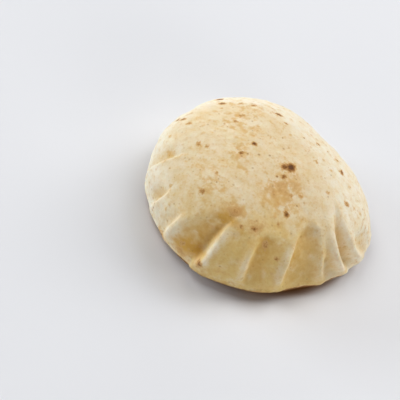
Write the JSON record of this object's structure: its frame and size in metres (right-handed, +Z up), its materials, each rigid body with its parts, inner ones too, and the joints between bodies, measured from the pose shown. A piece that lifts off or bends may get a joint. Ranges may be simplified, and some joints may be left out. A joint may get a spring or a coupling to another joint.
{
  "type": "pita bread",
  "caption": "Whole puffed round of flatbread: a high crown over a flat base, with hollows and pleats that climb from the seam round its wall.",
  "frame": {"origin": "on the table, under the middle of the bread's bounding box", "axes": "+Z up out of the crown, -Y towards the side with the widest gather, +X to the right of that side"},
  "size_m": [0.1495, 0.1547, 0.0592],
  "materials": {
    "crust": null
  },
  "bodies": {
    "root": {"pita": "crust"}
  },
  "joints": []
}
